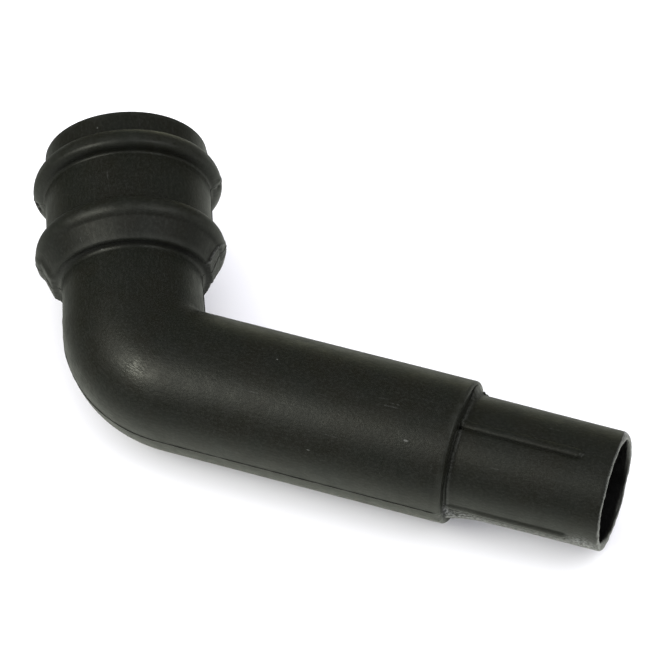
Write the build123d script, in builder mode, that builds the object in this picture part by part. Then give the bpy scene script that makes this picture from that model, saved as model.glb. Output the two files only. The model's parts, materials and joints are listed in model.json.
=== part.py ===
from build123d import *

import os
from math import asin, atan2, cos, hypot, radians, sin, tan

# A moulded downpipe bend in one piece: a ringed socket, a tight elbow, a long leg and a ribbed spigot.
# It lies on its side on the ground, as it comes to rest, on its level leg and the socket's lower ring.
# All lengths are in millimetres and all angles in degrees.

# The pipe and the wall
pipe_diameter = 76.0
pipe_clearance = 1.6
wall = 4.2

# The elbow
bend_turn = 67.5
inside_corner_radius = 0.5
neck_length = 29.1
neck_draft = 0.7

# The socket, from its foot up to its rim
foot_setback = 2.2
foot_edge_radius = 1.2
flank_length = 11.3
flank_rise = 5.0
ring_height = 6.3
lower_ring_underside = 6.0
lower_ring_top = 6.7
body_length = 29.6
body_wall = 5.1
upper_ring_underside = 4.2
upper_ring_top = 9.3
lip_length = 12.9
lip_wall = 4.3
rim_edge_radius = 1.0
rim_chamfer = 1.2
hollow_fillet = 1.1

# The seat inside the socket that stops the pipe
seat_thickness = 4.6
seat_corner_radius = 2.0
seat_edge_radius = 1.5

# The leg and its spigot
leg_length = 155.0
leg_end_radius = 1.8
step_height = 6.5
step_fillet = 0.8
spigot_length = 82.5
spigot_tip_length = 16.4
spigot_draft = 0.3
mouth_edge_radius = 1.0
mouth_chamfer = 0.8

# The ribs along the spigot
rib_count = 4
rib_width = 5.0
rib_height = 1.2

# The fine raised line where the two halves of the mould met
seam_width = 0.8
seam_height = 0.3

# Radii
pipe_radius = pipe_diameter / 2
neck_radius = pipe_radius - neck_draft
socket_bore_radius = pipe_radius + pipe_clearance
body_radius = socket_bore_radius + body_wall
lip_radius = socket_bore_radius + lip_wall
ring_crest_radius = body_radius + ring_height
foot_radius = body_radius - foot_setback
crease_radius = foot_radius + flank_rise
leg_bore_radius = pipe_radius - wall
neck_bore_radius = neck_radius - wall
spigot_radius = pipe_radius - step_height
spigot_root_radius = spigot_radius + spigot_draft
spigot_bore_radius = spigot_radius - wall
rib_rod_radius = (rib_width**2 / 4 + rib_height**2) / (2 * rib_height)
rib_rod_distance = spigot_radius + rib_height - rib_rod_radius

# Distances along the two axes, from the corner where they cross
bend_radius = pipe_radius + inside_corner_radius
elbow_reach = bend_radius * tan(radians(bend_turn / 2))
foot = elbow_reach + neck_length
crease = foot + flank_length
lower_crest = crease + lower_ring_underside
body_start = lower_crest + lower_ring_top
body_end = body_start + body_length
upper_crest = body_end + upper_ring_underside
lip_start = upper_crest + upper_ring_top
rim = lip_start + lip_length
seat = foot + seat_thickness
leg_end = elbow_reach + leg_length
spigot_end = leg_end + spigot_length
tip_start = spigot_end - spigot_tip_length
funnel_end = leg_end - wall
funnel_start = funnel_end - step_height

# At rest the leg is level and touches the ground all along. The socket then rises until the arc under
# its lower ring touches too, at the angle socket_rise that solves
# pipe_radius + lower_crest * sin - bulge_reach * cos - bulge_radius = 0.
ring_drop = ring_crest_radius - crease_radius
bulge_radius = (lower_ring_underside**2 + ring_drop**2) / (2 * ring_drop)
bulge_reach = ring_crest_radius - bulge_radius
bulge_lever = hypot(lower_crest, bulge_reach)
socket_rise = atan2(bulge_reach, lower_crest) - asin((pipe_radius - bulge_radius) / bulge_lever)
turn = radians(bend_turn)
roll = asin(sin(socket_rise) / sin(turn))

# Directions and planes: local X runs along an axis, local Y is the radius
leg_direction = Vector(1, 0, 0)
socket_direction = Vector(-cos(turn), sin(turn) * cos(roll), sin(turn) * sin(roll))
bend_normal = Vector(0, -sin(roll), cos(roll))
corner = Vector(0, 0, pipe_radius)
leg_plane = Plane(origin=corner, x_dir=leg_direction, z_dir=bend_normal)
socket_plane = Plane(origin=corner, x_dir=socket_direction, z_dir=bend_normal)
leg_axis = Axis(corner, leg_direction)
socket_axis = Axis(corner, socket_direction)

# The elbow turns about this axis
elbow_centre = leg_plane.from_local_coords(Vector(elbow_reach, bend_radius, 0))
elbow_axis = Axis(elbow_centre, leg_plane.z_dir * -1)
elbow_start = Plane(origin=leg_plane.from_local_coords(Vector(elbow_reach, 0, 0)), z_dir=leg_direction)


def round_corner(sketch, point, radius):
    """Round the corner of a sketch that lies nearest to a point."""
    fillet(sketch.vertices().sort_by_distance(point)[0], radius)


def socket_outline(proud):
    """Half of the outer side of neck and socket, with every radius larger by proud."""
    body = body_radius + proud
    lip = lip_radius + proud
    crest = ring_crest_radius + proud
    with BuildSketch(socket_plane) as outline:
        with BuildLine():
            Polyline(
                (elbow_reach, 0),
                (elbow_reach, pipe_radius + proud),
                (foot, neck_radius + proud),
                (foot, foot_radius + proud),
                (crease, crease_radius + proud),
            )
            TangentArc((lower_crest, crest), (crease, crease_radius + proud), tangent=(-1, 0))
            EllipticalCenterArc((lower_crest, body), lower_ring_top, ring_height, 90, arc_size=-90)
            Line((body_start, body), (body_end, body))
            EllipticalCenterArc((upper_crest, body), upper_ring_underside, ring_height, 180, arc_size=-90)
            EllipticalCenterArc((upper_crest, lip), upper_ring_top, crest - lip, 90, arc_size=-90)
            Polyline((lip_start, lip), (rim, lip), (rim, 0), (elbow_reach, 0))
        make_face()
        round_corner(outline, (foot, neck_radius + proud), hollow_fillet)
        round_corner(outline, (foot, foot_radius + proud), foot_edge_radius)
        round_corner(outline, (body_end, body), hollow_fillet)
        round_corner(outline, (rim, lip), rim_edge_radius)
    return outline.sketch


def leg_outline():
    """Half of the outer side of leg and spigot."""
    with BuildSketch(leg_plane) as outline:
        with BuildLine():
            Polyline(
                (elbow_reach, 0),
                (elbow_reach, pipe_radius),
                (leg_end, pipe_radius),
                (leg_end, spigot_root_radius),
                (tip_start, spigot_radius),
                (spigot_end, spigot_radius),
                (spigot_end, 0),
                close=True,
            )
        make_face()
        round_corner(outline, (leg_end, pipe_radius), leg_end_radius)
        round_corner(outline, (leg_end, spigot_root_radius), step_fillet)
        round_corner(outline, (spigot_end, spigot_radius), mouth_edge_radius)
    return outline.sketch


def rib_outline(angle):
    """Half of a round-ended rod that lies under the spigot's surface, so that its top stands proud."""
    outward = bend_normal.rotate(Axis((0, 0, 0), leg_direction), angle)
    plane = Plane(origin=corner, x_dir=leg_direction, z_dir=outward)
    rod_start = leg_end - wall
    rod_end = tip_start - rib_width / 2
    rod_nose = rod_end + rib_rod_radius
    top = rib_rod_distance + rib_rod_radius
    with BuildSketch(plane) as outline:
        with BuildLine():
            Polyline((rod_end, top), (rod_start, top), (rod_start, rib_rod_distance), (rod_nose, rib_rod_distance))
            CenterArc((rod_end, rib_rod_distance), rib_rod_radius, 0, 90)
        make_face()
    rod_axis = Axis(plane.from_local_coords(Vector(0, rib_rod_distance, 0)), leg_direction)
    return outline.sketch, rod_axis


def socket_bore():
    """Half of the space inside neck and socket, with the seat for the pipe."""
    with BuildSketch(socket_plane) as outline:
        with BuildLine():
            Polyline(
                (elbow_reach, 0),
                (elbow_reach, leg_bore_radius),
                (seat, neck_bore_radius),
                (seat, socket_bore_radius),
                (rim - rim_chamfer, socket_bore_radius),
                (rim, socket_bore_radius + rim_chamfer),
                (rim, 0),
                close=True,
            )
        make_face()
        round_corner(outline, (seat, neck_bore_radius), seat_edge_radius)
        round_corner(outline, (seat, socket_bore_radius), seat_corner_radius)
    return outline.sketch


def leg_bore():
    """Half of the space inside leg and spigot, with a funnel behind the step."""
    with BuildSketch(leg_plane) as outline:
        with BuildLine():
            Polyline(
                (elbow_reach, 0),
                (elbow_reach, leg_bore_radius),
                (funnel_start, leg_bore_radius),
                (funnel_end, spigot_bore_radius),
                (spigot_end - mouth_chamfer, spigot_bore_radius),
                (spigot_end, spigot_bore_radius + mouth_chamfer),
                (spigot_end, 0),
                close=True,
            )
        make_face()
    return outline.sketch


def elbow_circle(radius):
    """A round section at the elbow's leg end."""
    with BuildSketch(elbow_start) as section:
        Circle(radius)
    return section.sketch


def seam_outlines():
    """The mould line's flat outlines in the plane of the bend: both sides of the socket, elbow and leg."""
    socket_strip = socket_outline(seam_height)
    middle = Plane(origin=corner, x_dir=socket_direction, z_dir=socket_plane.y_dir)
    far_socket_strip = mirror(socket_strip, about=middle)
    outer = bend_radius + pipe_radius + seam_height
    with BuildSketch(Plane(origin=elbow_centre, x_dir=leg_direction, z_dir=bend_normal)) as elbow_strip:
        with BuildLine():
            PolarLine((0, 0), outer, -90)
            CenterArc((0, 0), outer, -90, -bend_turn)
            PolarLine((0, 0), outer, -90 - bend_turn)
        make_face()
    strip_length = leg_length - leg_end_radius
    with BuildSketch(leg_plane) as leg_strip:
        with Locations((elbow_reach + strip_length / 2, 0)):
            Rectangle(strip_length, pipe_diameter + 2 * seam_height)
    return socket_strip, far_socket_strip, elbow_strip.sketch, leg_strip.sketch


# The outlines are drawn first, and the solid is then turned from them
socket_face = socket_outline(0)
leg_face = leg_outline()
outer_circle = elbow_circle(pipe_radius)
inner_circle = elbow_circle(leg_bore_radius)
socket_bore_face = socket_bore()
leg_bore_face = leg_bore()
seams = seam_outlines()
ribs = [rib_outline(number * 360 / rib_count) for number in range(rib_count)]

with BuildPart() as downpipe_bend:
    revolve(socket_face, axis=socket_axis)
    revolve(outer_circle, axis=elbow_axis, revolution_arc=bend_turn)
    revolve(leg_face, axis=leg_axis)
    for rib_face, rib_axis in ribs:
        revolve(rib_face, axis=rib_axis)
    for seam in seams:
        extrude(seam, amount=seam_width / 2, both=True)
    revolve(socket_bore_face, axis=socket_axis, mode=Mode.SUBTRACT)
    revolve(inner_circle, axis=elbow_axis, revolution_arc=bend_turn, mode=Mode.SUBTRACT)
    revolve(leg_bore_face, axis=leg_axis, mode=Mode.SUBTRACT)

# The origin is on the ground under the middle of the part
box = downpipe_bend.part.bounding_box()
downpipe_bend.part = downpipe_bend.part.moved(Location((-box.center().X, -box.center().Y, 0)))

os.makedirs("parts", exist_ok=True)
downpipe_bend.part.label = "downpipe_bend"
export_step(downpipe_bend.part, "parts/downpipe_bend.step")
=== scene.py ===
import json
from math import acos, atan2, cos, degrees, pi, radians, sin, tan

import bpy
import numpy as np
from mathutils import Matrix, Quaternion, Vector, noise
from mathutils.geometry import intersect_line_line


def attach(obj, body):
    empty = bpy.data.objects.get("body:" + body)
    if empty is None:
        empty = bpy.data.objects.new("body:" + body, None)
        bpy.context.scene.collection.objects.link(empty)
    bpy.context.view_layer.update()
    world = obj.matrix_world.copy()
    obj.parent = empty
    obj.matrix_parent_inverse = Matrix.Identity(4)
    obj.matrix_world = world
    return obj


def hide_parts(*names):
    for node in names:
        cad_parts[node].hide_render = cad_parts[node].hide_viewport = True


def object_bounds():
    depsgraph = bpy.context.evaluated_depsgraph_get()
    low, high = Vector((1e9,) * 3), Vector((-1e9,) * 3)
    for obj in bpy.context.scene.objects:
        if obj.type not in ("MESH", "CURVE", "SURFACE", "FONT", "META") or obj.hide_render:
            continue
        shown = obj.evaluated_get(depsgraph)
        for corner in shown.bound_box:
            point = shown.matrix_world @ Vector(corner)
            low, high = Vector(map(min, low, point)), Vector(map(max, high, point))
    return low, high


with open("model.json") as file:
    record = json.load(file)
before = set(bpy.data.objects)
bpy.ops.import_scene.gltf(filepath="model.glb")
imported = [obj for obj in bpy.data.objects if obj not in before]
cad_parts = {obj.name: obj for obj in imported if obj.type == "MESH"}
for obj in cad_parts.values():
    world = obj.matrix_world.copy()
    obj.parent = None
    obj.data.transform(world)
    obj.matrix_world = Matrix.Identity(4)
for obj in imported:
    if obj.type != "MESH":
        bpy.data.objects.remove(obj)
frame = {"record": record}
cad_low, cad_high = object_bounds()

# The look of a moulded downpipe bend: one closed skin with its small forms and its finish, a pale floor,
# soft light and the camera. Lengths are in millimetres and angles in degrees where no comment says
# otherwise.
MM = 0.001

# The pipe and the wall
pipe_radius = 38.0
pipe_clearance = 1.6
wall = 4.2

# The elbow and the neck
inside_corner_radius = 0.5
neck_length = 29.1
neck_draft = 0.7

# The socket, from its foot up to its rim
foot_setback = 2.2
foot_edge_radius = 1.2
flank_length = 11.3
flank_rise = 5.0
ring_height = 6.3
lower_ring_underside = 6.0
lower_ring_top = 6.7
body_length = 29.6
body_wall = 5.1
upper_ring_underside = 4.2
upper_ring_top = 9.3
lip_length = 12.9
lip_wall = 4.3
rim_edge_radius = 1.0
rim_chamfer = 1.2

# The hollows above the rings, under the upper ring and under the foot, softer than in the solid
ring_blend = 2.2
undercut_blend = 1.7
neck_blend = 3.1

# The seat inside the socket that stops the pipe
seat_thickness = 4.6
seat_corner_radius = 2.0
seat_edge_radius = 1.5

# The leg and its spigot
leg_length = 155.0
leg_end_radius = 1.8
step_height = 6.5
step_fillet = 0.8
spigot_length = 82.5
spigot_tip_length = 16.4
spigot_draft = 0.3
mouth_edge_radius = 1.0
mouth_chamfer = 0.8

# The ribs along the spigot, with a sharp corner and a fine groove on one side, and a soft corner on the
# other
rib_width = 5.0
rib_height = 1.2
rib_blend = 0.1
soft_rib_blend = 0.45
rib_groove_depth = 0.5
rib_groove_width = 0.9

# The raised line where the halves of the mould met, and the lengths of its worn and its broken stretches
seam_height = 0.42
seam_top_width = 0.25
seam_foot_width = 0.85
seam_worn_length = 7.0
seam_broken_length = 2.2

# The flats on the lower ring's flank, where a knife trimmed the flash off at the mould line. Each has an
# angle, how far its middle stands out, the width and height of its edge, and the height of the knife's
# strokes.
flat_half_width = 9.3
flat_length = 15.8
stroke_spacing = 1.9
stroke_wander_length = 6.0
flats = [
    (-90, 0.25, 1.3, 0.25, 0.12),
    (90, 0.35, 4.5, 0.0, 0.02),
]

# The fine bead round the spigot's root
bead_place = 1.9
bead_width = 1.4
bead_height = 0.5

# Webs of flash that bridge the step, ragged at the end: angle, length along the spigot, height at the step
# and half width
webs = [
    (-50, 4.4, 5.4, 9.0),
    (111, 18.0, 3.0, 6.0),
]
web_ragged_share = 0.18
web_ragged_length = 3.5

# The spigot's mouth was sawn: its corner is cut off on one side, and its edge is ragged
sawn_corner_angle = -62.0
sawn_corner_half_width = 24.0
sawn_corner_depth = 2.0
ragged_depth = 0.42
ragged_length = 6.0
ragged_fine_length = 2.7

# Slight unevenness of the moulded skin
wave_height = 0.07
wave_length = 45.0
ripple_height = 0.018
ripple_length = 9.0

# Spacing of the rows of points along the skin, and the number of rows round the elbow
ring_spacing = 2.3
flank_spacing = 0.85
tube_spacing = 2.6
step_spacing = 0.6
spigot_spacing = 2.8
tip_spacing = 1.3
leg_inside_spacing = 9.0
socket_inside_spacing = 8.0
elbow_rows = 40
elbow_inside_rows = 18

# Length of the spigot, from the step on, that has the step's spacing
step_detail_length = 8.0

# The bend's placement comes from its two open ends
mounts = {mount["name"]: mount for mount in frame["record"]["mounts"]}
leg_direction = Vector(mounts["spigot_tip"]["axis"]).normalized()
socket_direction = Vector(mounts["socket"]["axis"]).normalized()
bend_normal = leg_direction.cross(socket_direction).normalized()
leg_point = Vector(mounts["spigot_tip"]["pos_m"])
socket_point = Vector(mounts["socket"]["pos_m"])
corner = intersect_line_line(
    leg_point, leg_point + leg_direction, socket_point, socket_point + socket_direction
)[0]
bend_turn = pi - leg_direction.angle(socket_direction)
sideways = bend_normal.cross(leg_direction)
bend_axes = Matrix((leg_direction, sideways, bend_normal)).transposed().to_4x4()
bend_to_world = Matrix.Translation(corner) @ bend_axes @ Matrix.Scale(MM, 4)

# Radii
neck_radius = pipe_radius - neck_draft
socket_bore_radius = pipe_radius + pipe_clearance
body_radius = socket_bore_radius + body_wall
lip_radius = socket_bore_radius + lip_wall
crest_radius = body_radius + ring_height
foot_radius = body_radius - foot_setback
crease_radius = foot_radius + flank_rise
leg_bore_radius = pipe_radius - wall
neck_bore_radius = neck_radius - wall
spigot_radius = pipe_radius - step_height
spigot_root_radius = spigot_radius + spigot_draft
spigot_bore_radius = spigot_radius - wall
rib_rod_radius = (rib_width**2 / 4 + rib_height**2) / (2 * rib_height)
rib_rod_distance = spigot_radius + rib_height - rib_rod_radius

# Distances along the two axes, from the corner where they cross
bend_radius = pipe_radius + inside_corner_radius
elbow_reach = bend_radius * tan(bend_turn / 2)
foot = elbow_reach + neck_length
crease = foot + flank_length
lower_crest = crease + lower_ring_underside
body_start = lower_crest + lower_ring_top
body_end = body_start + body_length
upper_crest = body_end + upper_ring_underside
lip_start = upper_crest + upper_ring_top
rim = lip_start + lip_length
seat = foot + seat_thickness
leg_end = elbow_reach + leg_length
spigot_end = leg_end + spigot_length
tip_start = spigot_end - spigot_tip_length
funnel_end = leg_end - wall
funnel_start = funnel_end - step_height

# Marks are given by section, place, angle, half length and half width. A place on the elbow is in degrees
# from its leg end, and on the rest in millimetres from the corner. Dents and lumps also have a height.
dents = [
    ("socket", 109.9, 90, 0.8, 0.8, 0.9),
    ("socket", 109.8, 94, 0.8, 1.4, -0.9),
    ("socket", 110.0, 99, 0.8, 1.0, -0.7),
    ("socket", 110.6, -86, 1.4, 1.6, 0.5),
    ("socket", 109.9, -93, 1.2, 2.6, -0.7),
    ("socket", 57.0, 78, 1.4, 1.0, 0.35),
    ("socket", 56.2, -104, 1.2, 2.2, -0.8),
    ("leg", 184.6, -61, 0.8, 1.0, 1.9),
    ("leg", 186.0, -63, 0.5, 0.5, 1.2),
    ("leg", 181.9, 4, 0.9, 1.6, -0.9),
    ("leg", 180.2, 97, 1.3, 2.2, -0.5),
    ("leg", 179.4, 104, 1.2, 1.8, 0.4),
]

# Nicks in the underside of the upper ring, with how deep each one goes along the socket
nicks = [
    ("socket", 110.2, 91, 1.3, 1.6, 2.2),
    ("socket", 109.6, 97, 1.3, 1.5, 1.8),
    ("socket", 109.6, -91, 1.2, 2.0, 1.0),
]

# Painted shade in small dark marks, most of them in the nicks, dents and lumps
shade_marks = [
    ("socket", 110.2, 90, 1.3, 1.4),
    ("socket", 109.8, 92, 1.8, 2.4),
    ("socket", 109.4, 98, 1.8, 2.0),
    ("socket", 109.3, -91, 0.9, 1.4),
    ("socket", 56.2, -104, 1.4, 2.4),
    ("leg", 184.8, -61, 1.2, 1.6),
    ("leg", 182.2, 5, 1.2, 1.5),
    ("leg", 180.2, 97, 1.3, 2.2),
]

# Small pale marks
pale_marks = [
    ("socket", 53.5, 18, 0.5, 0.5),
    ("socket", 125.5, 14, 0.5, 0.5),
    ("leg", 79.7, -10, 0.6, 0.5),
    ("leg", 157.1, 29, 1.6, 0.7),
    ("leg", 108.4, 56, 1.2, 0.3),
]

# Faint scratches along the tube
scratches = [
    ("leg", 145.4, 6, 7.0, 0.4),
    ("leg", 149.0, 3, 5.0, 0.35),
    ("leg", 141.0, 1, 3.0, 0.3),
    ("leg", 72.0, 22, 9.0, 0.3),
    ("leg", 118.0, 40, 6.0, 0.3),
    ("leg", 206.0, 34, 6.0, 0.3),
    ("leg", 229.0, -20, 4.0, 0.3),
    ("socket", 95.0, 8, 3.0, 0.4),
    ("socket", 60.0, 30, 2.5, 0.5),
]

# Places that are rubbed to a polish, with how strongly
rubbed_marks = [
    ("elbow", 17, 31, 6.8, 5.2, 1.0),
    ("leg", 157, 29, 6.0, 4.0, 0.35),
]

# Places where the plastic is torn pale, with how strongly
torn_marks = [
    ("leg", 192, 112, 11.0, 7.0, 1.0),
    ("leg", 216, 109, 30.0, 5.5, 1.0),
    ("leg", 181, 98, 2.5, 5.0, 1.0),
    ("leg", 255, 97, 7.0, 5.0, 0.9),
    ("leg", 252, 106, 14.0, 4.0, 0.8),
    ("leg", leg_end + 1.0, -48, 4.0, 9.0, 0.12),
]

# How strongly the bead's painted highlight shows, and how strongly the flats and the edges of the flats are
# torn. The bead's painted highlight is on one side only, round this angle. The last width is a share of the
# flat's.
bead_highlight = 0.1
bead_highlight_half_width = 0.7
bead_highlight_angle = 35.0
torn_flat = 0.1
torn_flat_edge = 1.4
torn_flat_edge_half_width = 0.05

# The sawn end of the wall, pale from the saw and given a painted highlight: how far back it reaches, how far
# off the bore it starts, and how pale it is all round and at the corner that is cut off
sawn_depth = 0.45
sawn_inner_gap = 0.5
sawn_and_highlight_share = 0.25
sawn_corner_and_highlight_share = 0.6

# Painted shade along the mould line on the bend's outer side, for the shadow beside its ridge: full up to
# the first distance from the line, and gone at the second
line_shade_full = 0.45
line_shade_end = 0.9

# Painted shade beside the ribs, under the upper ring on the side in view, and under the foot, where little
# light reaches: distance from the rib's edge, from the body's end or from the foot, then half width and
# strength
rib_shade = (0.15, 0.45, 0.85)
undercut_shade = (0.5, 0.9, 0.75)
foot_shade = (-0.4, 1.0, 0.9)

# Ridges that are rubbed pale and carry a painted highlight: section, place, half width, lowest radius and
# strength
worn_highlight_edges = [
    ("socket", lower_crest - 2.2, 2.0, body_radius, 0.65),
    ("socket", upper_crest - 0.5, 3.0, body_radius, 0.55),
    ("socket", foot + 1.2, 1.4, foot_radius - 1.0, 0.8),
    ("socket", rim - 1.0, 1.2, body_radius - 2.0, 0.8),
    ("leg", leg_end - 1.2, 1.2, spigot_radius + 2.0, 0.8),
    ("leg", leg_end + bead_place, 0.8, spigot_radius - 1.0, 1.0),
]

# Colours of the plastic, of its painted shade and of its painted highlights, each as linear red, green and
# blue and an alpha of 1
olive_black = (0.0034, 0.0034, 0.0008, 1)
green_black = (0.0031, 0.0042, 0.0020, 1)
mottle_colour = (0.0086, 0.0098, 0.0062, 1)
scuff_colour = (0.018, 0.019, 0.016, 1)
# Rubbed pale on the ridges, and a painted highlight there too
worn_highlight_colour = (0.0145, 0.0160, 0.0115, 1)
scratch_colour = (0.040, 0.042, 0.038, 1)
# Torn pale plastic, and the painted highlight on the bead
torn_and_highlight_colour = (0.17, 0.175, 0.165, 1)
# Pale from the saw, and a painted highlight on the mouth's end
sawn_and_highlight_colour = (0.20, 0.20, 0.195, 1)
# Painted shade for the creases, undercuts, nicks, dents, the mould line and the grooves beside the ribs
painted_shade_colour = (0.0008, 0.0008, 0.0006, 1)
# Painted shade for the inside of the bore
inside_shade_colour = (0.0008, 0.0007, 0.0007, 1)
pale_mark_colour = (0.075, 0.078, 0.070, 1)

# Patterns in the plastic, as how many features a metre holds: in all directions, or along and round the tube
blotch_scale = 45.0
cloud_scale = 160.0
grain_scale = 1700.0
mottle_scale = (540.0, 720.0, 1.0)
streak_scale = (60.0, 900.0, 1.0)
combed_scale = (350.0, 2200.0, 1.0)

# How strongly a colour shows at each value of its pattern: the values where the ramp starts and ends, and
# the share at both. The last ramp is for small marks and runs from their middle, at 0, to their edge, at 1.
blotch_ramp = (0.35, 0.65, 0.0, 1.0)
mottle_ramp = (0.42, 0.68, 0.0, 0.8)
scuff_ramp = (0.60, 0.78, 0.0, 0.28)
worn_highlight_ramp = (0.3, 0.7, 0.25, 1.0)
scratch_ramp = (0.35, 0.6, 0.1, 0.5)
torn_and_highlight_ramp = (0.42, 0.58, 0.0, 1.0)
sawn_and_highlight_ramp = (0.38, 0.60, 0.1, 1.0)
painted_shade_ramp = (0.36, 0.54, 0.4, 1.0)
mark_ramp = (0.4, 1.0, 0.9, 0.0)

# Roughness of the plastic in the same terms: what cloud and streaks give, and what polish takes off. The
# flank adds to it, and dark places take off.
cloud_roughness = (0.3, 0.7, 0.41, 0.50)
streak_roughness = (0.45, 0.75, -0.02, 0.05)
polish_ramp = (0.44, 0.60, 0.0, 0.40)
matt_flank = 0.10
dark_gloss = 0.12

# Bumps, each as its height in metres and its strength
grain_bump = (0.00006, 0.4)
mottle_bump = (0.00018, 0.65)
cloud_bump = (0.00024, 0.5)
streak_bump = (0.00004, 0.4)
torn_bump = (0.0006, 1.0)

# The floor, in metres
floor_radius = 0.45
floor_corners = 96
floor_colour = (0.9, 0.9, 0.905, 1)

# The floor in the part's gloss: its colour, and its brightness for two lengths of ray, each as the length in
# metres and the brightness
gloss_floor_colour = (0.96, 1.0, 0.86, 1)
gloss_floor_near = (0.015, 0.85)
gloss_floor_far = (0.13, 0.22)

# On one side of the part the floor in its gloss is brighter, and farther out it fades again. The ranges are
# in metres from the part's middle, and each gain is reached at the end of its range.
bright_floor_azimuth = 62.0
bright_floor_gain = 1.8
bright_floor_range = (0.0, 0.1)
far_floor_gain = 0.5
far_floor_range = (0.14, 0.3)

# The surround that lights the scene, and in the part's gloss a dim room and a backdrop
surround_light = 1.7
surround_colour = (0.945, 0.94, 1.0, 1)
room_light = 0.065
room_colour = (0.98, 1.0, 0.70, 1)
backdrop_light = 1.35
backdrop_azimuth = 104.0
backdrop_elevation = -14.0
backdrop_edge = 21.0

# Softboxes: name, azimuth, elevation, distance and size in metres, power in watts and colour
softboxes = [
    ("key_softbox", -131, 42, 1.4, 0.6, 6.2, (0.99, 1.0, 0.86)),
    ("side_softbox", -16, 50, 1.4, 0.5, 2.0, (0.97, 1.0, 0.93)),
]

# The camera, in the bend's own frame: where it stands, what it points at, and how far it leans
camera_place = (603.15, -979.76, 1898.76)
camera_aim = (92.54, 50.05, 0.0)
camera_lean = 1.66
camera_focal_length = 227.79
camera_sensor_width = 36.0


def arc(centre, radii, start, end, count):
    """Points (place, radius) of part of an ellipse, between two angles in degrees."""
    turns = np.radians(np.linspace(start, end, count))
    return [(centre[0] + radii[0] * cos(a), centre[1] + radii[1] * sin(a)) for a in turns]


def rounded(before, point, after, radius, count):
    """Points of the arc that rounds the corner at point between two straight runs."""
    a, c, b = (np.array(p, float) for p in (before, point, after))
    u = (a - c) / np.linalg.norm(a - c)
    v = (b - c) / np.linalg.norm(b - c)
    half = acos(float(u @ v)) / 2
    bisector = (u + v) / np.linalg.norm(u + v)
    centre = c + bisector * radius / sin(half)
    start = c + u * radius / tan(half) - centre
    end = c + v * radius / tan(half) - centre
    first = atan2(start[1], start[0])
    sweep = (atan2(end[1], end[0]) - first + pi) % (2 * pi) - pi
    return [
        (centre[0] + radius * cos(first + sweep * k), centre[1] + radius * sin(first + sweep * k))
        for k in np.linspace(0, 1, count)
    ]


def ring_side(crest_place, base_radius, length, height, blend, side):
    """One side of a ring from its crest down: part of an ellipse that runs out in a small hollow."""
    turns = np.linspace(0, pi / 2, 400)
    normals = np.stack([np.cos(turns) / length, np.sin(turns) / height], -1)
    normals = normals / np.linalg.norm(normals, axis=1)[:, None]
    touch = np.interp(0, height * np.sin(turns) + blend * normals[:, 1] - blend, turns)
    lean = atan2(sin(touch) / height, cos(touch) / length)
    hollow_place = length * cos(touch) + blend * cos(lean)
    points = arc((0, 0), (length, height), 90, degrees(touch), 13)
    points += arc((hollow_place, blend), (blend, blend), degrees(lean) - 180, -90, 7)[1:]
    return [(crest_place + side * place, base_radius + rise) for place, rise in points]


def spread(points, step):
    """The same line of points, with long straight runs divided into lengths of about step."""
    result = [points[0]]
    for last, point in zip(points, points[1:]):
        parts = max(1, round(np.hypot(point[0] - last[0], point[1] - last[1]) / step))
        for k in range(1, parts + 1):
            result.append(tuple(last[i] + (point[i] - last[i]) * k / parts for i in range(2)))
    return result


def socket_outside():
    """The outer profile from the rim down to the elbow."""
    inner_rim = (rim, socket_bore_radius + rim_chamfer)
    rim_corner = (rim, lip_radius)
    lip_rise = crest_radius - lip_radius
    points = [inner_rim]
    points += rounded(inner_rim, rim_corner, (lip_start, lip_radius), rim_edge_radius, 6)
    points += ring_side(upper_crest, lip_radius, upper_ring_top, lip_rise, ring_blend, 1)[::-1]
    points += ring_side(upper_crest, body_radius, upper_ring_underside, ring_height, undercut_blend, -1)[1:]
    points += ring_side(lower_crest, body_radius, lower_ring_top, ring_height, ring_blend, 1)[::-1]
    drop = crest_radius - crease_radius
    bulge = (lower_ring_underside**2 + drop**2) / (2 * drop)
    bulge_end = 90 + degrees(atan2(lower_ring_underside, bulge - drop))
    points += arc((lower_crest, crest_radius - bulge), (bulge, bulge), 95, bulge_end, 9)
    foot_corner = (foot, foot_radius)
    hollow = (foot, neck_radius)
    flank = points[-1:] + rounded((crease, crease_radius), foot_corner, hollow, foot_edge_radius, 6)
    neck = rounded(foot_corner, hollow, (elbow_reach, pipe_radius), neck_blend, 8)
    neck.append((elbow_reach, pipe_radius))
    rows = spread(points, ring_spacing)[:-1]
    rows += spread(flank, flank_spacing)[:-1]
    return rows + spread(flank[-1:] + neck, tube_spacing)


def leg_outside():
    """The outer profile from the elbow to the spigot's open end."""
    start = (elbow_reach, pipe_radius)
    shoulder = (leg_end, pipe_radius)
    root = (leg_end, spigot_root_radius)
    mouth = (spigot_end, spigot_radius)
    inner_mouth = (spigot_end, spigot_bore_radius + mouth_chamfer)
    leg = [start] + rounded(start, shoulder, root, leg_end_radius, 8)
    step = leg[-1:] + rounded(shoulder, root, (tip_start, spigot_radius), step_fillet, 4)
    step.append((leg_end + step_detail_length, spigot_root_radius))
    spigot = step[-1:]
    spigot.append((tip_start - rib_width, spigot_radius + spigot_draft * rib_width / spigot_length))
    spigot += [(tip_start - rib_width * share, spigot_radius) for share in (0.75, 0.6, 0.45, 0.3, 0.15, 0)]
    tip = spigot[-1:] + rounded(spigot[-1], mouth, inner_mouth, mouth_edge_radius, 5)
    tip.append(inner_mouth)
    rows = spread(leg, tube_spacing)[:-1]
    rows += spread(step, step_spacing)[:-1]
    rows += spread(spigot, spigot_spacing)[:-1]
    return rows + spread(tip, tip_spacing)


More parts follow.
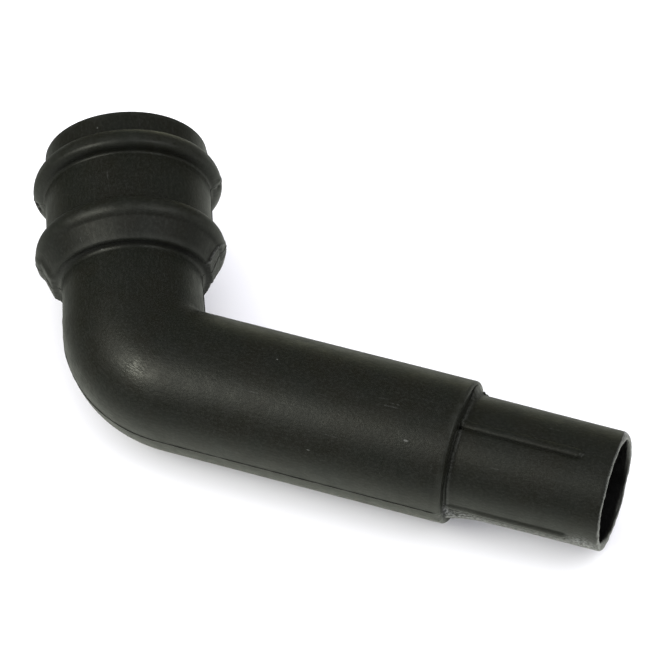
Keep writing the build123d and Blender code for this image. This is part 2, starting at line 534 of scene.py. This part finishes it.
def leg_inside():
    """The inner profile from the spigot's mouth back to the elbow."""
    points = [
        (spigot_end - mouth_chamfer, spigot_bore_radius),
        (spigot_end - 3 * mouth_chamfer, spigot_bore_radius),
        (funnel_end, spigot_bore_radius),
        (funnel_start, leg_bore_radius),
        (elbow_reach, leg_bore_radius),
    ]
    return spread(points, leg_inside_spacing)


def socket_inside():
    """The inner profile from the elbow up to the rim."""
    floor_edge = (seat, neck_bore_radius)
    wall_foot = (seat, socket_bore_radius)
    points = [(elbow_reach, leg_bore_radius)]
    points += rounded(points[0], floor_edge, wall_foot, seat_edge_radius, 5)
    points += rounded(floor_edge, wall_foot, (rim, socket_bore_radius), seat_corner_radius, 5)
    points += [(rim - rim_chamfer, socket_bore_radius)]
    return spread(points, socket_inside_spacing)


def tube_frame(section, place):
    """The tube's centre and the direction to the bend's outer side, in the bend's own frame."""
    if section == "leg":
        return np.array([place, 0, 0]), np.array([0, -1, 0])
    turned = place if section == "elbow" else bend_turn
    outward = np.array([-sin(turned), -cos(turned), 0])
    if section == "elbow":
        return np.array([elbow_reach, bend_radius, 0]) + bend_radius * outward, outward
    return place * np.array([-cos(bend_turn), sin(bend_turn), 0]), outward


def stations():
    """All rings of points round the tube, from the rim along the outside to the mouth and back inside."""
    outer_turns = np.linspace(bend_turn, 0, elbow_rows)[1:-1]
    inner_turns = np.linspace(0, bend_turn, elbow_inside_rows)[1:-1]
    rings = [("socket", place, radius, True) for place, radius in socket_outside()]
    rings += [("elbow", place, pipe_radius, True) for place in outer_turns]
    rings += [("leg", place, radius, True) for place, radius in leg_outside()]
    rings += [("leg", place, radius, False) for place, radius in leg_inside()]
    rings += [("elbow", place, leg_bore_radius, False) for place in inner_turns]
    rings += [("socket", place, radius, False) for place, radius in socket_inside()]
    return rings


def column_angles():
    """Angles round the tube, close together across the mould line, the ribs and the edges of the flats."""
    rib_side = [2.4, 3.2, 3.8, 4.3, 4.7, 5.1, 5.6, 6.4]
    seam_side = [0, 0.22, 0.42, 0.62, 0.85, 1.2, 1.7]
    plain_side = [0, 0.8, 1.6]
    flat_side = [7.6, 8.8, 10, 11, 11.8, 12.6, 13.4, 14.4]
    angles = []
    for quarter in range(4):
        if quarter % 2:
            near = seam_side + rib_side + flat_side + list(np.linspace(14.4, 45, 15))[1:]
        else:
            near = plain_side + rib_side + list(np.linspace(6.4, 45, 18))[1:]
        angles += [quarter * 90 + offset for offset in near]
        angles += [quarter * 90 - offset for offset in near[1:-1]]
    return np.radians(sorted(angle % 360 for angle in angles))


def smooth_step(value, low, high):
    """0 below low, 1 above high, and a smooth rise between."""
    share = np.clip((value - low) / (high - low), 0, 1)
    return share * share * (3 - 2 * share)


def band(value, middle, half_width):
    """1 where the value is middle, falling smoothly to 0 past half_width on both sides."""
    return np.exp(-(((value - middle) / half_width) ** 2))


class Skin:
    """Every point of the skin before its fine relief, in the bend's own frame, one row for each ring."""

    def __init__(self, rings, angles):
        self.rings, self.angles = rings, angles
        columns = len(angles)
        section, place, radius, outside = (np.array(part) for part in zip(*rings))
        self.section, self.place, self.radius, self.outside = (
            np.repeat(part[:, None], columns, 1) for part in (section, place, radius, outside)
        )
        self.angle = np.repeat(angles[None, :], len(rings), 0)
        frames = [tube_frame(*ring[:2]) for ring in rings]
        centres, outwards = (np.array(part) for part in zip(*frames))
        self.ray = np.sin(angles)[None, :, None] * outwards[:, None, :]
        self.ray = self.ray + np.cos(angles)[None, :, None] * np.array([0, 0, 1.0])
        self.base = centres[:, None, :] + radius[:, None, None] * self.ray

    def on(self, section):
        """Which points lie on the outside of a section."""
        return (self.section == section) & self.outside

    def turned(self, side):
        """Each point's angle in radians from a direction round the tube in degrees."""
        return (self.angle - radians(side) + pi) % (2 * pi) - pi

    def facing(self, side, near, far):
        """1 up to near degrees from a direction round the tube, 0 beyond far, and a smooth fall between."""
        return 1 - smooth_step(np.abs(np.degrees(self.turned(side))), near, far)

    def noise(self, length, seed):
        """Smooth noise from -1 to 1 with features about length long. The seed picks one of its patterns."""
        shift = Vector((seed * 17.3, seed * 5.1, seed * 9.7))
        values = [noise.noise(Vector(point) / length + shift) for point in self.base.reshape(-1, 3)]
        return np.array(values).reshape(self.place.shape)

    def nearest_ring(self, section, place):
        """The row of the outside ring of a section that lies nearest to a place."""
        rows = [row for row, ring in enumerate(self.rings) if ring[0] == section and ring[3]]
        return min(rows, key=lambda row: abs(self.rings[row][1] - place))

    def spot(self, section, place, angle, half_length, half_width):
        """1 at a place on the outside, falling smoothly to 0 past half_length along and half_width round."""
        if section == "elbow":
            place = radians(place)
        radius = self.rings[self.nearest_ring(section, place)][2]
        centre, outward = tube_frame(section, place)
        ray = sin(radians(angle)) * outward + cos(radians(angle)) * np.array([0, 0, 1.0])
        axis = np.cross(outward, [0, 0, 1.0])
        away = self.base - (centre + radius * ray)
        along = away @ axis
        rest = np.sqrt(np.maximum((away**2).sum(-1) - along**2, 0))
        return np.exp(-((along / half_length) ** 2) - (rest / half_width) ** 2) * self.outside

    def marked(self, marks):
        """The sum of the spots of a list, each times the last number of its row."""
        total = np.zeros(self.place.shape)
        for *where, strength in marks:
            total = total + strength * self.spot(*where)
        return total


def before_step(skin):
    """Which points lie on the leg's outside, up to the rounded edge at its end."""
    return skin.on("leg") & (skin.place < leg_end - leg_end_radius)


def on_spigot(skin):
    """Which points lie on the spigot's outside."""
    return skin.on("leg") & (skin.place > leg_end) & (skin.radius > spigot_bore_radius + 2)


def around_rib(skin):
    """Each point's angle in radians from the nearest rib, and how far it lies past the rib's round end."""
    offset = (skin.angle + pi / 4) % (pi / 2) - pi / 4
    return offset, np.maximum(skin.place - (tip_start - rib_width / 2), 0)


def beside_rib(skin):
    """How far each point lies beside the nearest rib's edge, and whether that is on the groove's side."""
    offset, past_end = around_rib(skin)
    return np.hypot(past_end, spigot_radius * offset) - rib_width / 2, offset > 0


def rib_rise(skin):
    """How far the ribs stand out of the spigot, with the groove beside each."""
    offset, past_end = around_rib(skin)
    blend = np.where(offset > 0, rib_blend, soft_rib_blend)
    reach = rib_rod_radius**2 - past_end**2 - (rib_rod_distance * np.sin(offset)) ** 2
    rod = rib_rod_distance * np.cos(offset) + np.sqrt(np.maximum(reach, 0))
    rise = np.where(reach > 0, rod - skin.radius, -1.0)
    rise = (rise + np.sqrt(rise**2 + blend**2)) / 2 - blend**2 / 8
    beside, on_groove_side = beside_rib(skin)
    groove = rib_groove_depth * band(beside, rib_groove_width / 3, rib_groove_width / 2) * on_groove_side
    return (rise - groove) * on_spigot(skin)


def seam_rise(skin):
    """How far the mould line stands out, with worn and broken stretches."""
    half_top, half_foot = seam_top_width / 2, seam_foot_width / 2
    worn = 0.5 * skin.noise(seam_worn_length, seed=3)
    broken = 0.35 * skin.noise(seam_broken_length, seed=4)
    left = np.clip(0.8 + worn + broken, 0.15, 1.2)
    straight = before_step(skin) | (skin.on("socket") & (skin.place < rim - rim_edge_radius))
    rise = np.zeros(skin.place.shape)
    for side, reaches in ((90, straight | skin.on("elbow")), (-90, straight)):
        distance = np.abs(skin.turned(side)) * skin.radius
        ridge = np.clip((half_foot - distance) / (half_foot - half_top), 0, 1)
        rise += seam_height * ridge * left * reaches
    return rise


def flat_share(skin, side):
    """How far across a trimmed flat each point lies: 0 in its middle at the foot, 1 at its edge."""
    across = skin.radius * np.sin(np.clip(skin.turned(side), -1, 1))
    above = np.maximum(skin.place - foot, 0)
    share = np.sqrt((across / flat_half_width) ** 2 + (above / flat_length) ** 2.2)
    return np.where(skin.on("socket") & (skin.place >= foot) & (skin.place < lower_crest), share, 9.0)


def flat_rise(skin, side, rise, edge, edge_height, stroke_height):
    """A trimmed flat on the lower ring's flank, with the curved strokes of the knife."""
    share = flat_share(skin, side)
    inside = 1 - smooth_step(share, 1.0, 1.0 + edge / flat_half_width)
    chord = skin.radius * (1 / np.cos(np.clip(skin.turned(side), -0.4, 0.4)) - 1)
    wander = skin.noise(stroke_wander_length, seed=8)
    strokes = stroke_height * np.cos(2 * pi * (1 - share) * flat_half_width / stroke_spacing + wander)
    strokes = strokes * (1 - smooth_step(share, 0.85, 1.0))
    at_edge = smooth_step(skin.radius, foot_radius - 3.0, foot_radius - 0.5)
    ridge = edge_height * band(share, 1.05, 0.06)
    return ((chord + rise + strokes) * inside + ridge) * at_edge


def root_rise(skin):
    """The bead round the spigot's root and the webs of flash that bridge the step."""
    past_step = skin.place - leg_end
    rise = bead_height * band(past_step, bead_place, bead_width / 2)
    ragged = 1 + web_ragged_share * skin.noise(web_ragged_length, seed=9)
    for angle, length, height, half_width in webs:
        slope = np.clip(1 - past_step / length * ragged, 0, 1) ** 1.3
        window = np.exp(-((skin.turned(angle) * spigot_radius / half_width) ** 4))
        rise = np.maximum(rise, height * slope * window)
    return rise * (skin.on("leg") & (past_step > 0.2))


def sawn_corner(skin):
    """1 in the middle of the corner that is cut off the mouth, falling smoothly to 0 round the tube."""
    return band(np.degrees(skin.turned(sawn_corner_angle)), 0, sawn_corner_half_width)


def mouth_shift(skin):
    """How far each point of the sawn mouth lies back along the leg."""
    edge = smooth_step(skin.radius, spigot_radius - 2.5, spigot_radius)
    uneven = 0.8 * skin.noise(ragged_length, seed=5) + 0.6 * skin.noise(ragged_fine_length, seed=6)
    ragged = ragged_depth * uneven + ragged_depth / 2
    near_end = smooth_step(skin.place, spigot_end - 6.0, spigot_end) * (skin.section == "leg")
    return (sawn_corner_depth * sawn_corner(skin) * edge + ragged) * near_end


def shaped_points(skin):
    """The moulding's points in the bend's own frame, with all its relief."""
    waves = wave_height * skin.noise(wave_length, seed=1)
    ripples = ripple_height * skin.noise(ripple_length, seed=2)
    rise = waves + ripples + seam_rise(skin) + rib_rise(skin) + root_rise(skin)
    for flat in flats:
        rise = rise + flat_rise(skin, *flat)
    rise = rise + skin.marked(dents)
    along_leg = np.array([1.0, 0, 0])
    along_socket = np.array([-cos(bend_turn), sin(bend_turn), 0])
    points = skin.base + rise[:, :, None] * skin.ray - mouth_shift(skin)[:, :, None] * along_leg
    return points + skin.marked(nicks)[:, :, None] * along_socket


def torn_and_highlight_mask(skin):
    """Where the plastic is torn pale, along one side of the spigot and on the trimmed flats, and the bead's
    painted highlight.
    """
    # A painted highlight along one side of the bead
    bead = band(skin.place, leg_end + bead_place, bead_highlight_half_width) * on_spigot(skin)
    bead = bead * skin.facing(bead_highlight_angle, near=40, far=70)
    torn_and_highlight = skin.marked(torn_marks) + bead_highlight * bead
    for side, _, _, edge_height, _ in flats:
        share = flat_share(skin, side)
        torn_and_highlight = torn_and_highlight + torn_flat * (1 - smooth_step(share, 0.9, 1.1))
        torn_and_highlight = torn_and_highlight + torn_flat_edge * edge_height * band(share, 1.04, torn_flat_edge_half_width)
    return torn_and_highlight


def sawn_and_highlight_mask(skin):
    """Where the saw left the end of the spigot's wall pale, with a painted highlight on it."""
    at_end = (skin.section == "leg") & (skin.place > spigot_end - sawn_depth)
    at_end = at_end & (skin.radius > spigot_bore_radius + sawn_inner_gap)
    return at_end * (sawn_and_highlight_share + sawn_corner_and_highlight_share * sawn_corner(skin))


def matt_mask(skin):
    """The lower ring's flank, which is duller than the rest."""
    from_foot = smooth_step(skin.place, foot - 1, foot)
    up_to_crease = 1 - smooth_step(skin.place, crease, crease + 3)
    return from_foot * up_to_crease * skin.on("socket")


def painted_shade_mask(skin):
    """Painted shade beside the mould line, in nicks and dents, beside the ribs, and under upper ring and
    foot.
    """
    # Painted shade along the mould line, for the shadow beside its ridge
    from_line = np.abs(skin.turned(90)) * skin.radius
    painted_shade = 1 - smooth_step(from_line, line_shade_full, line_shade_end)
    painted_shade = painted_shade * (skin.on("elbow") | before_step(skin))
    # Painted shade in the nicks, dents and lumps
    for mark in shade_marks:
        painted_shade = painted_shade + skin.spot(*mark)
    # Painted shade in the groove beside each rib
    distance, half_width, strength = rib_shade
    beside, on_groove_side = beside_rib(skin)
    painted_shade = painted_shade + strength * band(beside, distance, half_width) * on_groove_side * on_spigot(skin)
    # Painted shade under the upper ring
    distance, half_width, strength = undercut_shade
    undercut = strength * band(skin.place, body_end + distance, half_width)
    undercut = undercut * (skin.radius > body_radius + 0.6) * skin.facing(0, near=45, far=75)
    # Painted shade under the foot
    distance, half_width, strength = foot_shade
    under_foot = strength * band(skin.place, foot + distance, half_width)
    under_foot = under_foot * (skin.radius < foot_radius - 0.9) * (skin.radius > neck_radius + 0.6)
    return painted_shade + (undercut + under_foot) * skin.on("socket")


def worn_highlight_mask(skin):
    """How far the ridges of the rings, the foot and the step are rubbed pale, with a painted highlight on
    them.
    """
    worn = np.zeros(skin.place.shape)
    for section, place, half_width, lowest, strength in worn_highlight_edges:
        ridge = skin.on(section) & (skin.radius > lowest)
        worn += strength * band(skin.place, place, half_width) * ridge
    return worn


def finish_masks(skin):
    """Where the finish, the painted shade and the painted highlights differ, from 0 to 1 at each point."""
    masks = {
        "rubbed": skin.marked(rubbed_marks),
        "torn_and_highlight": torn_and_highlight_mask(skin),
        "sawn_and_highlight": sawn_and_highlight_mask(skin),
        "matt": matt_mask(skin),
        "painted_shade": painted_shade_mask(skin),
        # Wear and a painted highlight on the ridges
        "worn": worn_highlight_mask(skin),
        "inside": 1.0 - skin.outside,
    }
    return {name: np.clip(mask, 0, 1) for name, mask in masks.items()}


def build_moulding(skin):
    """The whole fitting as one closed skin of four-sided faces, held inside the solid's box."""
    points = shaped_points(skin)
    rows, columns = points.shape[:2]
    matrix = np.array(bend_to_world)
    world = points.reshape(-1, 3) @ matrix[:3, :3].T + matrix[:3, 3]
    world = np.clip(world, np.array(cad_low), np.array(cad_high))
    row, column = np.meshgrid(np.arange(rows), np.arange(columns), indexing="ij")
    next_row = (row + 1) % rows
    next_column = (column + 1) % columns
    corners = ((row, column), (row, next_column), (next_row, next_column), (next_row, column))
    faces = np.stack([r * columns + c for r, c in corners], -1).reshape(-1, 4)
    mesh = bpy.data.meshes.new("downpipe_bend_moulding")
    mesh.from_pydata(world.tolist(), [], faces.tolist())
    lay_out_surface(mesh, skin)
    for name, mask in finish_masks(skin).items():
        values = mesh.attributes.new(name, "FLOAT", "POINT").data
        values.foreach_set("value", mask.astype(np.float32).ravel())
    mesh.validate()
    mesh.polygons.foreach_set("use_smooth", [True] * len(mesh.polygons))
    piece = bpy.data.objects.new("downpipe_bend_moulding", mesh)
    bpy.context.scene.collection.objects.link(piece)
    return piece


def lengths_along(skin):
    """How far along the skin each ring lies, in metres."""
    along = [0.0]
    for last, ring in zip(skin.rings, skin.rings[1:]):
        if last[0] != ring[0]:
            along.append(along[-1])
        elif ring[0] == "elbow":
            along.append(along[-1] + abs(ring[1] - last[1]) * (bend_radius + pipe_radius / 2))
        else:
            along.append(along[-1] + np.hypot(ring[1] - last[1], ring[2] - last[2]))
    return np.array(along) * MM


def lay_out_surface(mesh, skin):
    """Surface coordinates in metres: first along the tube, then round it."""
    rows, columns = skin.place.shape
    along = lengths_along(skin)
    along = np.append(along, along[-1] + MM)
    around = np.append(skin.angles, skin.angles[0] + 2 * pi) * pipe_radius * MM
    row, column = np.meshgrid(np.arange(rows), np.arange(columns), indexing="ij")
    corner_rows = np.stack([row, row, row + 1, row + 1], -1)
    corner_columns = np.stack([column, column + 1, column + 1, column], -1)
    layout = np.stack([along[corner_rows], around[corner_columns]], -1)
    mesh.uv_layers.new(name="surface").data.foreach_set("uv", layout.ravel())


def surface_place(skin, section, place, angle):
    """The surface coordinates of a place on the outside."""
    if section == "elbow":
        place = radians(place)
    along = lengths_along(skin)[skin.nearest_ring(section, place)]
    return Vector((along, radians(angle % 360) * pipe_radius * MM, 0))


class Nodes:
    """Short ways to add and join shader nodes. An input is named, or numbered as in i0 for the first."""

    def __init__(self, name, holder=None):
        self.material = holder or bpy.data.materials.new(name)
        self.material.use_nodes = True
        self.tree = self.material.node_tree
        self.tree.nodes.clear()

    def add(self, kind, **inputs):
        node = self.tree.nodes.new("ShaderNode" + kind)
        for name, value in inputs.items():
            self.set(node, name, value)
        return node

    def set(self, node, name, value):
        numbered = name[0] == "i" and name[1:].isdigit()
        socket = node.inputs[int(name[1:])] if numbered else node.inputs[name]
        if isinstance(value, bpy.types.NodeSocket):
            self.tree.links.new(value, socket)
        else:
            socket.default_value = value

    def noise(self, vector, scale, detail=2.0, roughness=0.5):
        node = self.add("TexNoise", Vector=vector, Scale=scale, Detail=detail, Roughness=roughness)
        return node.outputs["Fac"]

    def stretched(self, vector, scale):
        return self.add("Mapping", Vector=vector, Scale=scale).outputs["Vector"]

    def ramp(self, value, low, high, bottom=0.0, top=1.0):
        node = self.add("MapRange", i0=value, i1=low, i2=high, i3=bottom, i4=top)
        node.interpolation_type = "SMOOTHSTEP"
        return node.outputs["Result"]

    def math(self, operation, first, second):
        node = self.tree.nodes.new("ShaderNodeMath")
        node.operation = operation
        self.set(node, "i0", first)
        self.set(node, "i1", second)
        return node.outputs[0]

    def product(self, first, second):
        return self.math("MULTIPLY", first, second)

    def mix(self, share, first, second):
        node = self.tree.nodes.new("ShaderNodeMix")
        node.data_type = "RGBA"
        for index, value in ((0, share), (6, first), (7, second)):
            self.set(node, f"i{index}", value)
        return node.outputs[2]

    def vector(self, operation, first, second=None):
        node = self.tree.nodes.new("ShaderNodeVectorMath")
        node.operation = operation
        self.set(node, "i0", first)
        if second is not None:
            self.set(node, "i1", second)
        return node

    def mask(self, name):
        node = self.add("Attribute")
        node.attribute_name = name
        return node.outputs["Fac"]

    def bump(self, height, size, below=None):
        node = self.add("Bump", Height=height, Distance=size[0], Strength=size[1])
        if below is not None:
            self.set(node, "Normal", below)
        return node.outputs["Normal"]


def plastic_patterns(made, surface):
    """The noises that vary the plastic's colour, gloss and bumps."""
    where = made.add("TexCoord").outputs["Object"]
    return {
        "blotches": made.noise(where, blotch_scale, 3.0),
        "cloud": made.noise(where, cloud_scale, 4.0, 0.6),
        "grain": made.noise(where, grain_scale, 2.0),
        "mottle": made.noise(made.stretched(surface, mottle_scale), 1.0, 3.0, 0.6),
        "streaks": made.noise(made.stretched(surface, streak_scale), 1.0, 4.0, 0.6),
        "combed": made.noise(made.stretched(surface, combed_scale), 1.0, 2.0),
    }


def spot_on(made, surface, skin, section, place, angle, half_length, half_width):
    """A shader's share that is near 1 on a small mark at a place on the skin, and 0 elsewhere."""
    away = made.vector("SUBTRACT", surface, surface_place(skin, section, place, angle)).outputs[0]
    scaled = made.vector("MULTIPLY", away, Vector((1 / half_length, 1 / half_width, 0)) / MM).outputs[0]
    length = made.vector("LENGTH", scaled).outputs["Value"]
    return made.ramp(length, *mark_ramp)


def plastic_colour(made, surface, skin, pattern, mask):
    """Nearly black, with mottle, scuffs, wear, scratches, torn and sawn places, pale marks, painted
    highlights on ridges, the bead and the mouth's end, and painted shade in hollows, at the mould line and
    in the bore.
    """
    mottle = pattern["mottle"]
    colour = made.mix(made.ramp(pattern["blotches"], *blotch_ramp), olive_black, green_black)
    colour = made.mix(made.ramp(mottle, *mottle_ramp), colour, mottle_colour)
    colour = made.mix(made.ramp(pattern["streaks"], *scuff_ramp), colour, scuff_colour)
    # Rubbed pale ridges with a painted highlight
    worn = made.product(mask["worn"], made.ramp(pattern["cloud"], *worn_highlight_ramp))
    colour = made.mix(worn, colour, worn_highlight_colour)
    broken = made.ramp(mottle, *scratch_ramp)
    for mark in scratches:
        scratch = made.product(spot_on(made, surface, skin, *mark), broken)
        colour = made.mix(scratch, colour, scratch_colour)
    # Torn places, and the bead's painted highlight
    torn_and_highlight = made.product(mask["torn_and_highlight"], made.ramp(mottle, *torn_and_highlight_ramp))
    colour = made.mix(torn_and_highlight, colour, torn_and_highlight_colour)
    # The sawn end, pale and with a painted highlight
    sawn_and_highlight = made.product(mask["sawn_and_highlight"], made.ramp(mottle, *sawn_and_highlight_ramp))
    colour = made.mix(sawn_and_highlight, colour, sawn_and_highlight_colour)
    # Painted shade in hollows, nicks and dents, beside the ribs and at the mould line
    painted_shade = made.product(mask["painted_shade"], made.ramp(mottle, *painted_shade_ramp))
    colour = made.mix(painted_shade, colour, painted_shade_colour)
    # Painted shade in the bore
    colour = made.mix(mask["inside"], colour, inside_shade_colour)
    for mark in pale_marks:
        colour = made.mix(spot_on(made, surface, skin, *mark), colour, pale_mark_colour)
    return colour


def plastic_roughness(made, pattern, mask):
    """Dull and uneven, duller on the flank, and glossier where it is dark or rubbed."""
    cloud = made.ramp(pattern["cloud"], *cloud_roughness)
    streaks = made.ramp(pattern["streaks"], *streak_roughness)
    rough = made.math("ADD", made.math("ADD", cloud, streaks), made.product(mask["matt"], matt_flank))
    dark = made.math("MAXIMUM", mask["inside"], mask["painted_shade"])
    rough = made.math("SUBTRACT", rough, made.product(dark, dark_gloss))
    polished = made.product(mask["rubbed"], made.ramp(pattern["combed"], *polish_ramp))
    return made.math("SUBTRACT", rough, polished)


def plastic_relief(made, pattern, mask):
    """Bumps from the finest to the longest, and the torn and sawn places on top."""
    normal = made.bump(pattern["grain"], grain_bump)
    normal = made.bump(pattern["mottle"], mottle_bump, normal)
    normal = made.bump(pattern["cloud"], cloud_bump, normal)
    normal = made.bump(pattern["streaks"], streak_bump, normal)
    broken = made.math("MAXIMUM", mask["torn_and_highlight"], mask["sawn_and_highlight"])
    return made.bump(made.product(broken, pattern["mottle"]), torn_bump, normal)


def black_plastic(skin):
    """Dull black moulded plastic, handled and a little scuffed, with painted shade and painted highlights.
    """
    made = Nodes("black_plastic")
    layout = made.add("UVMap")
    layout.uv_map = "surface"
    surface = layout.outputs["UV"]
    names = ("rubbed", "torn_and_highlight", "sawn_and_highlight", "matt", "painted_shade", "worn", "inside")
    mask = {name: made.mask(name) for name in names}
    pattern = plastic_patterns(made, surface)
    shader = made.add("BsdfPrincipled", IOR=1.5)
    made.set(shader, "Base Color", plastic_colour(made, surface, skin, pattern, mask))
    made.set(shader, "Roughness", plastic_roughness(made, pattern, mask))
    made.set(shader, "Normal", plastic_relief(made, pattern, mask))
    made.add("OutputMaterial", Surface=shader.outputs["BSDF"])
    return made.material


def towards(azimuth, elevation):
    """The direction from the part to an azimuth and elevation in degrees."""
    turn, lift = radians(azimuth), radians(elevation)
    return Vector((cos(turn) * cos(lift), sin(turn) * cos(lift), sin(lift)))


def floor_material():
    """Matt white, and in the part's gloss a floor that grows dim away from it."""
    made = Nodes("white_floor")
    path = made.add("LightPath")
    white = made.add("BsdfDiffuse", Color=floor_colour)
    distances, lights = zip(gloss_floor_near, gloss_floor_far)
    near = made.ramp(path.outputs["Ray Length"], *distances, *lights)
    where = made.add("TexCoord").outputs["Object"]
    out = made.vector("DOT_PRODUCT", where, towards(bright_floor_azimuth, 0)).outputs["Value"]
    bright = made.ramp(out, *bright_floor_range, 1.0, bright_floor_gain)
    fade = made.ramp(out, *far_floor_range, 1.0, far_floor_gain)
    light = made.product(near, made.product(bright, fade))
    dim = made.add("BsdfDiffuse", Color=made.mix(light, (0, 0, 0, 1), gloss_floor_colour))
    mix = made.add("MixShader", i0=path.outputs["Is Glossy Ray"], i1=white.outputs[0], i2=dim.outputs[0])
    made.add("OutputMaterial", Surface=mix.outputs[0])
    return made.material


def build_floor():
    """A round level floor under the part, wide enough for every view of it."""
    mesh = bpy.data.meshes.new("floor")
    turns = [2 * pi * k / floor_corners for k in range(floor_corners)]
    rim_points = [(floor_radius * cos(turn), floor_radius * sin(turn), 0) for turn in turns]
    mesh.from_pydata(rim_points, [], [list(range(floor_corners))])
    floor = bpy.data.objects.new("floor", mesh)
    bpy.context.scene.collection.objects.link(floor)
    mesh.materials.append(floor_material())


def add_softbox(name, azimuth, elevation, distance, size, power, colour):
    """A square softbox that faces the part."""
    light = bpy.data.lights.new(name, "AREA")
    light.shape = "SQUARE"
    light.size = size
    light.energy = power
    light.color = colour
    softbox = bpy.data.objects.new(name, light)
    direction = towards(azimuth, elevation)
    softbox.location = direction * distance
    softbox.rotation_mode = "QUATERNION"
    softbox.rotation_quaternion = direction.to_track_quat("Z", "Y")
    bpy.context.scene.collection.objects.link(softbox)


def light_scene():
    """An even surround, a dim room and a backdrop in the part's gloss, and the softboxes."""
    world = bpy.data.worlds.new("studio")
    made = Nodes("studio", world)
    view = made.add("TexCoord").outputs["Generated"]
    backdrop = towards(backdrop_azimuth, backdrop_elevation)
    facing = made.vector("DOT_PRODUCT", view, backdrop).outputs["Value"]
    light = made.ramp(facing, cos(radians(backdrop_edge)), 1.0, room_light, backdrop_light)
    room = made.add("Background", Color=room_colour, Strength=light)
    surround = made.add("Background", Color=surround_colour, Strength=surround_light)
    glossy = made.add("LightPath").outputs["Is Glossy Ray"]
    mix = made.add("MixShader", i0=glossy, i1=surround.outputs[0], i2=room.outputs[0])
    made.add("OutputWorld", Surface=mix.outputs[0])
    bpy.context.scene.world = world
    for softbox in softboxes:
        add_softbox(*softbox)


def add_camera():
    """The photograph's viewpoint."""
    data = bpy.data.cameras.new("camera")
    data.sensor_width = camera_sensor_width
    data.lens = camera_focal_length
    data.clip_start, data.clip_end = 0.05, 50.0
    camera = bpy.data.objects.new("camera", data)
    place = bend_to_world @ Vector(camera_place)
    aim = bend_to_world @ Vector(camera_aim)
    back = (place - aim).normalized()
    camera.location = place
    camera.rotation_mode = "QUATERNION"
    camera.rotation_quaternion = Quaternion(back, radians(-camera_lean)) @ (-back).to_track_quat("-Z", "Y")
    bpy.context.scene.collection.objects.link(camera)
    bpy.context.scene.camera = camera


skin = Skin(stations(), column_angles())
moulding = build_moulding(skin)
moulding.data.materials.append(black_plastic(skin))
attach(moulding, "root")
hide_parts("downpipe_bend")
build_floor()
light_scene()
add_camera()
bpy.context.scene.view_settings.view_transform = "Standard"
